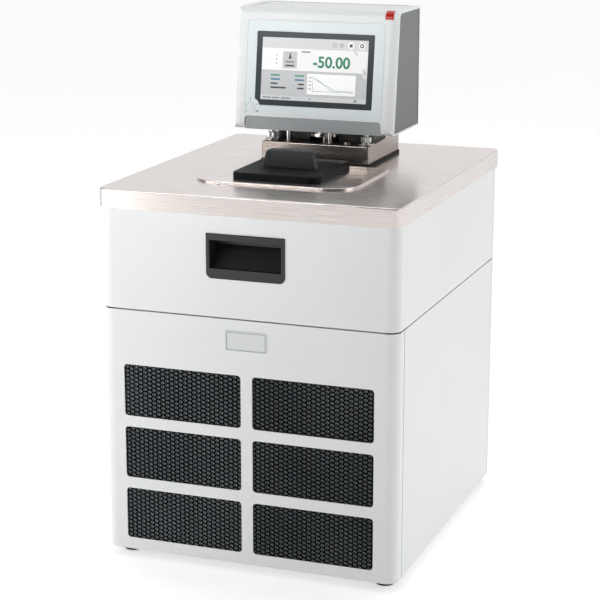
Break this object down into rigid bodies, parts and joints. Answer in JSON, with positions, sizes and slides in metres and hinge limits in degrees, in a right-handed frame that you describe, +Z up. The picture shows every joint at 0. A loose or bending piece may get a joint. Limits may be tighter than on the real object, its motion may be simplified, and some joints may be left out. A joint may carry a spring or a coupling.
{
  "type": "refrigerated circulator",
  "caption": "Floor-standing refrigerated bath with a lidded stainless deck and a control head that carries the pump, heater and touch screen.",
  "frame": {"origin": "bottom centre of the bounding box, on the floor under the middle of the cabinet", "axes": "+X to the right of someone facing the screen, +Y from the front to the back, +Z up"},
  "size_m": [0.42, 0.49, 0.7314],
  "materials": {
    "cabinet_white": "satin powder coat",
    "panel_grey": "satin powder coat",
    "frame_steel": "zinc plated and painted",
    "stainless": "fine brushed",
    "mesh_steel": "dark grey coat",
    "shell_white": "fine grain",
    "shell_grey": "fine grain",
    "grip_grey": "fine grain",
    "black_plastic": "satin",
    "lid_black": "satin",
    "panel_film": "gloss film",
    "bezel_dark": "gloss",
    "tab_red": "gloss",
    "black_rubber": "matte",
    "copper_tube": "bare copper",
    "nickel": "nickel plated",
    "aluminium_fins": "bare",
    "compressor_black": "gloss black paint",
    "motor_casing": "grey paint",
    "foam": "closed-cell foam",
    "board_green": "bare",
    "wet_plastic": "bare"
  },
  "bodies": {
    "cabinet": {"feet": "black_rubber", "base_pan": "frame_steel", "chassis_frame": "frame_steel", "upper_housing": "cabinet_white", "side_panels": "cabinet_white", "rear_panel": "cabinet_white", "recessed_grips": "grip_grey", "top_cover": "stainless", "bath_tank": "stainless", "evaporator_coil": "copper_tube", "insulation": "foam", "bridge_gasket": "black_rubber", "bridge": "stainless", "pump_ports": "nickel", "pump_housing": "stainless", "pump_pipes": "stainless", "heater_coil": "stainless", "temperature_probe": "stainless", "float_stem": "stainless", "motor_mount": "black_plastic", "motor_flange": "nickel", "spacers": "nickel", "clamp_screws": "black_plastic", "head_shell": "shell_white", "head_cheeks": "shell_grey", "head_top_plate": "shell_white", "head_back_cover": "shell_grey", "front_panel": "panel_film", "touch_screen": "bezel_dark", "display_module": "black_plastic", "chin_panel": "shell_grey", "status_tab": "tab_red", "pump_motor": "motor_casing", "circuit_board": "board_green", "condenser": "aluminium_fins", "fan_shroud": "frame_steel", "fan_motor": "motor_casing", "compressor": "compressor_black", "compressor_mounts": "black_rubber", "refrigerant_lines": "copper_tube", "filter_drier": "copper_tube", "expansion_valve": "nickel", "electrics_box": "frame_steel", "power_entry": "black_plastic", "inlet_pins": "nickel", "drain_pipe": "stainless", "drain_tap": "nickel"},
    "lid": {"lid": "lid_black", "lid_grip": "lid_black"},
    "vent_front": {"vent_panel": "cabinet_white", "vent_mesh": "mesh_steel", "badge_plate": "panel_grey"},
    "fan_rotor": {"fan": "black_plastic", "fan_shaft": "nickel"},
    "pump_rotor": {"pump_shaft": "stainless", "impeller": "wet_plastic"},
    "cutout_knob": {"cutout_dial": "black_plastic"},
    "drain_handle": {"drain_lever": "nickel"},
    "switch_rocker": {"mains_switch": "black_plastic"},
    "float": {"level_float": "wet_plastic"}
  },
  "joints": [
    {"name": "lid_lift", "type": "slide", "parent": "cabinet", "child": "lid", "axis": [0, 0, 1], "range_m": [0, 0.23]},
    {"name": "vent_panel_pull", "type": "slide", "parent": "cabinet", "child": "vent_front", "axis": [0, -1, 0], "range_m": [0, 0.06]},
    {"name": "fan_spin", "type": "hinge", "parent": "cabinet", "child": "fan_rotor", "pos_m": [0, -0.161, 0.156], "axis": [0, 1, 0], "continuous": true},
    {"name": "pump_spin", "type": "hinge", "parent": "cabinet", "child": "pump_rotor", "pos_m": [0, 0.064, 0.4], "axis": [0, 0, 1], "continuous": true},
    {"name": "cutout_dial_turn", "type": "hinge", "parent": "cabinet", "child": "cutout_knob", "pos_m": [-0.0925, 0.00916, 0.59331], "axis": [0, -0.9909, 0.1348], "range_deg": [-135, 135]},
    {"name": "drain_lever_turn", "type": "hinge", "parent": "cabinet", "child": "drain_handle", "pos_m": [0.1, -0.201, 0.315], "axis": [0, 0, -1], "range_deg": [0, 90]},
    {"name": "mains_switch_rock", "type": "hinge", "parent": "cabinet", "child": "switch_rocker", "pos_m": [0.146, 0.2354, 0.1], "axis": [1, 0, 0], "range_deg": [0, 16]},
    {"name": "float_rise", "type": "slide", "parent": "cabinet", "child": "float", "axis": [0, 0, 1], "range_m": [0, 0.012]}
  ]
}
